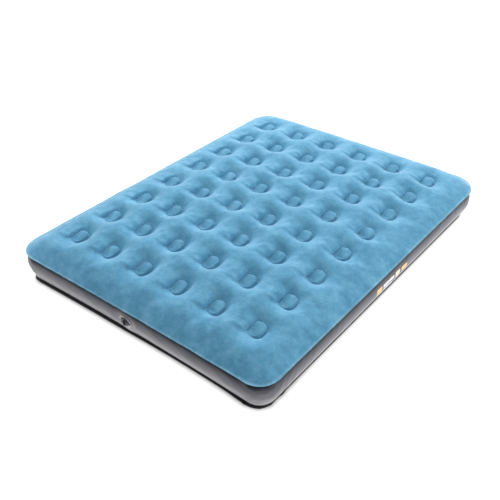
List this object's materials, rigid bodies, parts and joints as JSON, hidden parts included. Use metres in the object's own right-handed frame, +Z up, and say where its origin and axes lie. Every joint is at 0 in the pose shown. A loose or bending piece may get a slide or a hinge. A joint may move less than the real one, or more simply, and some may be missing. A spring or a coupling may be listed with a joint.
{
  "type": "air mattress",
  "caption": "Inflated bed mattress with a flocked quilted top, smooth side band, inner coil tubes and a plugged valve in one end.",
  "frame": {"origin": "middle of the underside, where the mattress rests on the floor", "axes": "+Z up, +Y along the long side away from the valve, +X along the short side"},
  "size_m": [1.5, 1.98, 0.25],
  "materials": {
    "flocked_top": "short flock, brushed velvet look",
    "side_film": "smooth soft film, slightly glossy",
    "bottom_film": "dark soft film, satin",
    "coil_film": "soft film, satin",
    "valve_soft": "flexible moulded, satin",
    "valve_hard": "rigid moulded, glossy",
    "seal_rubber": "soft, matt",
    "pin_steel": "drawn wire"
  },
  "bodies": {
    "mattress": {"top_panel": "flocked_top", "side_band": "side_film", "bottom_panel": "bottom_film", "coil_row_1": "coil_film", "coil_row_2": "coil_film", "coil_row_3": "coil_film", "coil_row_4": "coil_film", "coil_row_5": "coil_film", "coil_row_6": "coil_film", "coil_row_7": "coil_film", "coil_row_8": "coil_film", "valve_flange": "valve_soft", "insert_strap": "valve_soft", "insert_strap_anchor": "valve_soft"},
    "insert": {"valve_insert": "valve_hard", "insert_seal": "seal_rubber", "flap_pin": "pin_steel", "plug_strap": "valve_soft", "plug_strap_anchor": "valve_soft"},
    "flap": {"check_flap": "seal_rubber"},
    "tether_ring": {"strap_ring": "valve_soft"},
    "stopper": {"plug": "valve_hard", "plug_seal_outer": "seal_rubber", "plug_seal_inner": "seal_rubber"}
  },
  "joints": [
    {"name": "insert_pull", "type": "slide", "parent": "mattress", "child": "insert", "axis": [0, -0.9866, -0.1632], "range_m": [0, 0.04], "deforming": ["insert_strap"]},
    {"name": "flap_swing", "type": "hinge", "parent": "insert", "child": "flap", "pos_m": [-0.02, -0.93914, 0.10816], "axis": [1, 0, 0], "range_deg": [0, 75], "stiffness_Nm_per_rad": 0.004, "springref_deg": -11.46},
    {"name": "plug_pull", "type": "slide", "parent": "insert", "child": "tether_ring", "axis": [0, -0.9866, -0.1632], "range_m": [0, 0.03], "deforming": ["plug_strap"]},
    {"name": "plug_spin", "type": "hinge", "parent": "tether_ring", "child": "stopper", "pos_m": [-0.02, -0.96892, 0.086], "axis": [0, -0.9866, -0.1632], "continuous": true}
  ]
}
